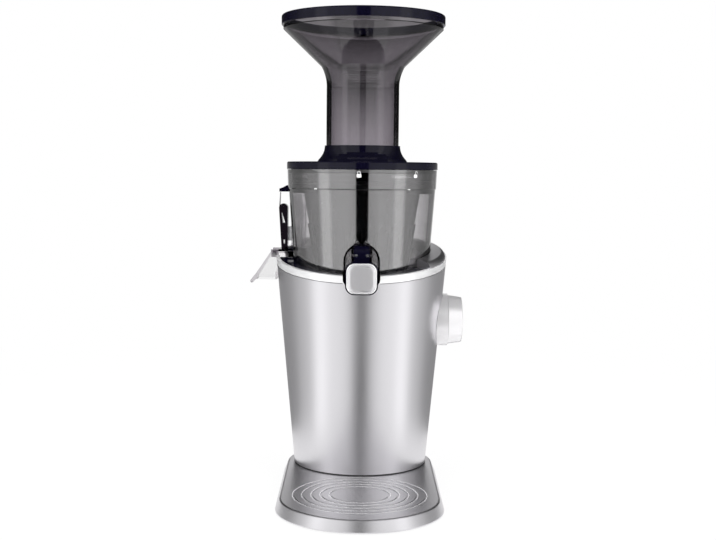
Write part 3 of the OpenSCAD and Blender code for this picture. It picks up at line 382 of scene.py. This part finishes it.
def strip(rows, closed):
    """The points and faces of a strip through rows of equally many points, each row a closed section."""
    n = len(rows[0])
    faces = []
    spans = len(rows) if closed else len(rows) - 1
    for i in range(spans):
        a, b = i * n, ((i + 1) % len(rows)) * n
        for k in range(n):
            faces.append((a + k, a + (k + 1) % n, b + (k + 1) % n, b + k))
    if not closed:
        faces.append(tuple(range(n)))
        faces.append(tuple((len(rows) - 1) * n + k for k in reversed(range(n))))
    return [p for row in rows for p in row], faces


def turned(name, profile, centre_y, look, body, slot):
    """A ring from its section (radius, height), round an upright axis at x = 0."""
    steps = 120
    rows = []
    for i in range(steps):
        azimuth = 2 * math.pi * i / steps
        rows.append([around(radius, azimuth, z, centre_y) for radius, z in profile])
    points, faces = strip(rows, True)
    return add_mesh(name, points, faces, look, body, slot)


def section(place, azimuth, low, high, inner, outer):
    """Four corners of a thin line's section, on the surface that place gives."""
    return [place(azimuth, z, out) for z, out in ((low, inner), (low, outer), (high, outer), (high, inner))]


def line_round_body(name, height_at, half, out, look, spans):
    """A thin line round the body, half as high either way as given, standing out a hair."""
    sunk = -0.25
    step = math.radians(2)
    for number, (start, end) in enumerate(spans):
        steps = max(8, int(abs(end - start) / step))
        rows = []
        for i in range(steps + 1):
            azimuth = start + (end - start) * i / steps
            z = height_at(azimuth)
            rows.append(section(on_body, azimuth, z - half, z + half, sunk, out))
        points, faces = strip(rows, False)
        add_mesh(f"{name}_{number + 1}", points, faces, look, "base", "rubber", smooth=False)


def print_white():
    look = Surface("print_white", (0.86, 0.86, 0.86), 0.5)
    look.mottle(look.noise(2600, 2), 0.08)
    return look.material


# Dark for the lines round the body: the seam under the trim, and the painted shadow at the body's foot
def dark_line_and_painted_shadow():
    look = Surface("dark_line_and_painted_shadow", (0.02, 0.02, 0.022), 0.6)
    look.mottle(look.noise(500, 3), 0.3)
    return look.material


def shackle_line(radius, leg, last_leg):
    """The middle line of a padlock's shackle: up one leg, round the bow and down the last leg."""
    steps = 10
    turns = [math.pi * k / steps for k in range(1, steps)]
    bow = [(-radius * math.cos(t), leg + radius * math.sin(t)) for t in turns]
    return [(-radius, 0.0), (-radius, leg), *bow, (radius, leg), (radius, leg - last_leg)]


def padlock(name, azimuth, opened, look):
    """A padlock mark 4.4 mm wide, printed on the chamber's band. An open one's shackle stands to the side."""
    half_width, body_height, bar = 2.2, 3.2, 0.55
    corner = 0.35
    columns = 6
    leg = 1.4
    proud = 0.06
    centre = math.radians(azimuth)

    def place(across, up):
        return on_band(centre + across / band_radius(LOCK_Z), LOCK_Z + up, proud)

    points, faces = [], []
    for i in range(columns + 1):
        u = -half_width + 2 * half_width * i / columns
        cut = corner if i in (0, columns) else 0.0
        points += [place(u, -body_height + cut), place(u, -cut)]
    for i in range(columns):
        faces.append((2 * i, 2 * i + 2, 2 * i + 3, 2 * i + 1))
    start = len(points)
    shift = 1.0 if opened else 0.0
    line = shackle_line(1.3, leg, 0.4 if opened else leg)
    for k, (u, v) in enumerate(line):
        before = line[max(k - 1, 0)]
        after = line[min(k + 1, len(line) - 1)]
        along = Vector((after[0] - before[0], after[1] - before[1])).normalized()
        side = Vector((-along.y, along.x)) * bar / 2
        points += [place(u + shift + side.x, v + side.y), place(u + shift - side.x, v - side.y)]
    for k in range(len(line) - 1):
        a = start + 2 * k
        faces.append((a, a + 1, a + 3, a + 2))
    add_mesh(name, points, faces, look, "chamber", "silicone", smooth=False)


def align_mark(name, azimuth, look):
    """A short raised bar under the chamber's band."""
    half_turn, steps = 1.2, 6
    sunk, proud = -0.1, 0.35
    rows = []
    for i in range(steps + 1):
        a = math.radians(azimuth) + math.radians(-half_turn + 2 * half_turn * i / steps)
        rows.append(section(on_band, a, ALIGN_FOOT, ALIGN_TOP, sunk, proud))
    points, faces = strip(rows, False)
    add_mesh(name, points, faces, look, "chamber", "silicone", smooth=False)


def marks():
    look = print_white()
    padlock("lock_mark_closed", -2.5, False, look)
    padlock("lock_mark_open", 43.0, True, look)
    align_mark("align_mark_left", -36.9, look)
    align_mark("align_mark_right", 36.9, look)


def trim_seam_and_foot_shadow():
    """The dark line under the bright trim, which stops at the spout and the duct, and a painted shadow as a
    dark line over the base, round the body's foot where it stands on the base.
    """
    look = dark_line_and_painted_shadow()
    front = math.asin(NOTCH_HALF / TRIM_R)
    duct_front = -(math.pi / 2 + math.asin((DUCT_Y - DUCT_HALF) / TRIM_R))
    duct_back = -(math.pi / 2 + math.asin((DUCT_Y + DUCT_HALF) / TRIM_R))
    full = 2 * math.pi
    line_round_body("trim_seam", lambda a: slant_height(a, TRIM_H), 0.28, 0.05, look,
         [(front, full + duct_back), (duct_front, -front)])
    # The foot line is a painted shadow: a dark band round the body just over the base, where it stands on it
    foot = 0.5
    line_round_body("foot_painted_shadow", lambda a: BASE_TOP + foot, foot, 0.12, look, [(0, math.pi), (math.pi, full)])


def rounded_square(half, corner):
    """Outline points (x, z), with round corners."""
    points = []
    steps = 8
    straight = half - corner
    for k, (sx, sz) in enumerate(((1, 1), (-1, 1), (-1, -1), (1, -1))):
        for i in range(steps + 1):
            t = math.pi / 2 * (k + i / steps)
            points.append((sx * straight + corner * math.cos(t), sz * straight + corner * math.sin(t)))
    return points


def cap_layers(name, layers, look, centre_z):
    """A rounded square on the cap's front, from layers of (half width, corner radius, y)."""
    rows = []
    for half, corner, y in layers:
        rows.append([Vector((x, y, centre_z + z)) * MM for x, z in rounded_square(half, corner)])
    points, faces = strip(rows, False)
    return add_mesh(name, points, faces, look, "cap", "bright_trim")


def cap_front():
    """The cap's plate as a bright bezel with a round edge, and a satin face sunk in it and slightly domed."""
    low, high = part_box("cap_plate")
    half = (high.x - low.x) / 2 / MM
    front = low.y / MM
    back = high.y / MM
    z = (low.z + high.z) / 2 / MM
    corner = 7.6
    shoulder = front + 1.3
    steps = 6
    edge = [(half, corner, back), (half, corner, shoulder)]
    for i in range(1, steps + 1):
        t = math.pi / 2 * i / steps
        inset = 1.1 * (1 - math.cos(t))
        edge.append((half - inset, corner - inset, shoulder - 1.2 * math.sin(t)))
    edge += [(half - 1.5, corner - 1.5, front + 0.15), (half - 1.7, corner - 1.7, front + 0.35)]
    bezel = cap_layers("cap_plate_bezel", edge, LOOKS["bright_trim"], z)
    face = [(half - 1.75, corner - 1.7, front + 1.0), (half - 1.75, corner - 1.7, front + 0.4),
            (half - 2.1, corner - 2.0, front + 0.2), (half - 4.5, corner - 3.0, front + 0.08),
            (half - 9.0, 4.0, front + 0.02)]
    # The sunk face takes the paler silver, with painted light
    cap_layers("cap_plate_face", face, CAP_SILVER_PAINTED_LIGHT, z)
    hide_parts("cap_plate")


def strainer_rim():
    """The collar that stands on the outer strainer's flange and ends just under the lid's skirt."""
    inner, upper, outer = 66.5, 68.6, 69.7
    overlap, gap = 0.1, 0.35
    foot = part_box("outer_strainer")[1].z / MM - overlap
    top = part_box("lid")[0].z / MM - gap
    profile = [(inner, foot), (outer, foot), (outer, top - 3.0),
               (upper, top - 2.4), (upper, top), (inner, top)]
    turned("strainer_rim", profile, 0, LOOKS["strainer_grey"], "chamber", "strainer_grey")


def drip_lips():
    """The low round lip outside each engraved drip ring."""
    outline = ((-0.5, -0.05), (-0.35, 0.12), (0, 0.2), (0.35, 0.12), (0.5, -0.05))
    for number in range(RING_COUNT):
        r = RING_R + RING_STEP * number
        profile = [(r + out, BASE_TOP + up) for out, up in outline]
        turned(f"drip_lip_{number + 1}", profile, RING_Y, LOOKS["bright_trim"], "base", "silver_paint")


dress_nodes()
marks()
trim_seam_and_foot_shadow()
cap_front()
strainer_rim()
drip_lips()


# Stage ----------------------------------------------------------------------

# Lengths are in metres here, and azimuths in degrees from the camera's side.

# Brightness that reflections find round the studio: a dark strip in the middle, a soft box at each side, and
# grey cards behind
SURROUND = ((0, 0.0), (8.5, 0.0), (10.5, 0.82), (26, 1.02), (48, 0.98), (54, 1.45), (66, 1.35),
            (72, 0.7), (88, 0.6), (106, 0.33), (126, 0.3), (152, 0.3), (164, 0.55), (169, 0.55),
            (173, 0.55), (180, 0.55))
# The surround up to this azimuth also meets the light that has passed through clear plastic
SIDE = 88
# Beside and behind the object, that light meets these cards instead, which darken the edges of clear pieces
EDGE_CARDS = ((88.5, 0.6), (115, 0.12), (130, 0.03), (167.9, 0.03))
# What is seen through the hopper, by height, and the power that pales it by degrees to each side
SHADE = ((0.34, 1.0), (0.42, 0.8), (0.45, 0.62), (0.484, 0.45), (0.535, 0.17), (0.575, 0.1), (0.594, 0.02),
         (0.612, 0.02), (0.622, 0.36), (0.65, 0.4), (0.7, 0.2), (0.8, 0.1), (1.3, 0.1))
SHADE_SIDES = ((-12, 0.3), (-6, 0.45), (-2.7, 0.6), (-2.1, 1.0), (2.1, 1.0), (2.7, 0.6), (6, 0.45), (12, 0.3))
# The cards lie on the floor from NEAR to FAR, and stand there up to TOP
NEAR, FAR, TOP = 0.2, 2.2, 2.6
CARD_FLOOR = 0.002
SHADE_DISTANCE = FAR - 0.01
# From the side to the back, the standing part grows dark above these heights, but not straight behind
DIM_START, DIM_END = 0.3, 0.42
DIM_LEAST = 0.08
DIM_TURN = 36
BEHIND = 170
BEHIND_SHARE = 1.3
# Strength of the white world for diffuse light and for reflections
WORLD_DIFFUSE = 0.45
WORLD_GLOSSY = 0.12
# The floor lies just under the feet, and is fully white from the second of these distances on
FLOOR_Z = -0.0005
FLOOR_FADE = (0.35, 1.0)
# What the lamps shine at
AIM = (0, 0, 0.22)
# The camera, solved from the photo's edges: its focal length in pixels of the photo, its place and its turn
LENS_PIXELS = 1196.8
PHOTO_WIDTH = 716
SENSOR_WIDTH = 36
CAMERA_PLACE = (-0.00335, -1.1981, 0.3026)
PITCH = math.radians(4.632)
ROLL = math.radians(0.508)


def glow(name):
    """A material that shines as brightly as the mesh's shade says."""
    material = bpy.data.materials.new(name)
    material.use_nodes = True
    tree = material.node_tree
    tree.nodes.remove(tree.nodes["Principled BSDF"])
    shine = tree.nodes.new("ShaderNodeEmission")
    read = tree.nodes.new("ShaderNodeAttribute")
    read.attribute_name = "shade"
    tree.links.new(read.outputs["Color"], shine.inputs["Color"])
    tree.links.new(shine.outputs["Emission"], tree.nodes["Material Output"].inputs["Surface"])
    return material


def card_ring(name, columns):
    """Cards from columns of (azimuth, ((radius, height, brightness), ...)). No camera sees them."""
    mesh = bpy.data.meshes.new(name)
    points, faces, values = [], [], []
    for azimuth, column in columns:
        a = math.radians(azimuth)
        for r, z, value in column:
            points.append((r * math.sin(a), -r * math.cos(a), z))
            values.append(value)
    tall = len(columns[0][1])
    for i in range(len(columns) - 1):
        for k in range(tall - 1):
            p = i * tall + k
            faces.append((p, p + 1, p + 1 + tall, p + tall))
    mesh.from_pydata(points, [], faces)
    shade = mesh.color_attributes.new("shade", "FLOAT_COLOR", "POINT")
    for k, value in enumerate(values):
        shade.data[k].color = (value, value, value, 1)
    mesh.materials.append(glow(name))
    item = bpy.data.objects.new(name, mesh)
    bpy.context.scene.collection.objects.link(item)
    item.visible_camera = False
    item.visible_diffuse = False
    item.visible_shadow = False
    item.visible_volume_scatter = False
    return item


def upper_share(azimuth):
    """Brightness of a card's upper part against its lower one."""
    turned_away = abs(azimuth)
    if turned_away > BEHIND:
        return BEHIND_SHARE
    return min(1.0, max(DIM_LEAST, 1 - (turned_away - SIDE) / DIM_TURN))


def whole_height(stops):
    """Columns out over the floor and up a standing card, from stops of (azimuth, brightness)."""
    columns = []
    for azimuth, low in stops:
        high = low * upper_share(azimuth)
        columns.append((azimuth, ((NEAR, CARD_FLOOR, low), (FAR, CARD_FLOOR, low), (FAR, DIM_START, low),
                                  (FAR, DIM_END, high), (FAR, TOP, high))))
    return columns


def mirrored(stops, side):
    return [(side * azimuth, value) for azimuth, value in stops]


def cards():
    front = [stop for stop in SURROUND if stop[0] <= SIDE]
    back = [stop for stop in SURROUND if stop[0] >= SIDE]
    card_ring("surround_front", whole_height(mirrored(reversed(front[1:]), -1) + front))
    for side, word in ((-1, "left"), (1, "right")):
        behind = card_ring(f"surround_{word}", whole_height(mirrored(back, side)))
        behind.visible_transmission = False
        edge = card_ring(f"edge_card_{word}", whole_height(mirrored(EDGE_CARDS, side)))
        edge.visible_glossy = False
    columns = []
    for azimuth, power in SHADE_SIDES:
        columns.append((180 + azimuth, [(SHADE_DISTANCE, z, value ** power) for z, value in SHADE]))
    shade = card_ring("hopper_shade", columns)
    shade.visible_glossy = False


def lamp(name, place, size, power):
    """A square lamp that shines at the object, and shows in no reflection."""
    data = bpy.data.lights.new(name, "AREA")
    data.shape = "SQUARE"
    data.size = size
    data.energy = power
    item = bpy.data.objects.new(name, data)
    item.location = place
    item.rotation_euler = (Vector(AIM) - Vector(place)).to_track_quat("-Z", "Y").to_euler()
    item.visible_glossy = False
    item.visible_transmission = False
    bpy.context.scene.collection.objects.link(item)


def lamps():
    lamp("key_left", (-1.3, -1.2, 1.0), 1.0, 22)
    lamp("key_right", (1.3, -1.2, 1.0), 1.0, 22)
    lamp("top", (0, 0.2, 1.9), 1.4, 26)


def seen_by(tree, rays):
    """1 for the named kinds of ray, else 0."""
    path = tree.nodes.new("ShaderNodeLightPath")
    total = None
    for key in rays:
        if total is None:
            total = path.outputs[key]
            continue
        add = tree.nodes.new("ShaderNodeMath")
        add.operation = "MAXIMUM"
        tree.links.new(total, add.inputs[0])
        tree.links.new(path.outputs[key], add.inputs[1])
        total = add.outputs[0]
    return total


def white_world():
    """White for the camera and through clear plastic, dim for other light and dimmest for reflections."""
    world = bpy.data.worlds.new("studio")
    bpy.context.scene.world = world
    world.use_nodes = True
    tree = world.node_tree
    back = tree.nodes["Background"]
    back.inputs["Color"].default_value = (1, 1, 1, 1)
    dim = remap(tree, seen_by(tree, ("Is Glossy Ray",)), WORLD_DIFFUSE, WORLD_GLOSSY)
    strength = remap(tree, seen_by(tree, ("Is Camera Ray", "Is Transmission Ray")), dim, 1.0)
    tree.links.new(strength, back.inputs["Strength"])


def white_floor():
    """A floor that looks white, a hair darker near the object, and that is matt for diffuse light."""
    bpy.ops.mesh.primitive_plane_add(size=12, location=(0, 0, FLOOR_Z))
    item = bpy.context.object
    item.name = "floor"
    material = bpy.data.materials.new("floor")
    material.use_nodes = True
    tree = material.node_tree
    matt = tree.nodes["Principled BSDF"]
    matt.inputs["Base Color"].default_value = (0.9, 0.9, 0.9, 1)
    matt.inputs["Roughness"].default_value = 0.9
    shine = tree.nodes.new("ShaderNodeEmission")
    place = tree.nodes.new("ShaderNodeTexCoord")
    away = tree.nodes.new("ShaderNodeVectorMath")
    away.operation = "LENGTH"
    tree.links.new(place.outputs["Object"], away.inputs[0])
    white = remap(tree, away.outputs["Value"], 0.93, 1.0, *FLOOR_FADE)
    seen = seen_by(tree, ("Is Camera Ray", "Is Glossy Ray", "Is Transmission Ray"))
    share = tree.nodes.new("ShaderNodeMath")
    share.operation = "MULTIPLY"
    tree.links.new(white, share.inputs[0])
    tree.links.new(seen, share.inputs[1])
    mix = tree.nodes.new("ShaderNodeMixShader")
    tree.links.new(share.outputs["Value"], mix.inputs[0])
    tree.links.new(matt.outputs["BSDF"], mix.inputs[1])
    tree.links.new(shine.outputs["Emission"], mix.inputs[2])
    tree.links.new(mix.outputs["Shader"], tree.nodes["Material Output"].inputs["Surface"])
    item.data.materials.append(material)


def camera():
    data = bpy.data.cameras.new("camera")
    data.sensor_width = SENSOR_WIDTH
    data.lens = LENS_PIXELS * SENSOR_WIDTH / PHOTO_WIDTH
    item = bpy.data.objects.new("camera", data)
    turn = Matrix.Rotation(math.pi / 2 - PITCH, 4, "X") @ Matrix.Rotation(ROLL, 4, "Z")
    item.matrix_world = Matrix.Translation(CAMERA_PLACE) @ turn
    bpy.context.scene.collection.objects.link(item)
    bpy.context.scene.camera = item


bpy.context.scene.view_settings.view_transform = "Standard"
white_world()
white_floor()
lamps()
cards()
camera()
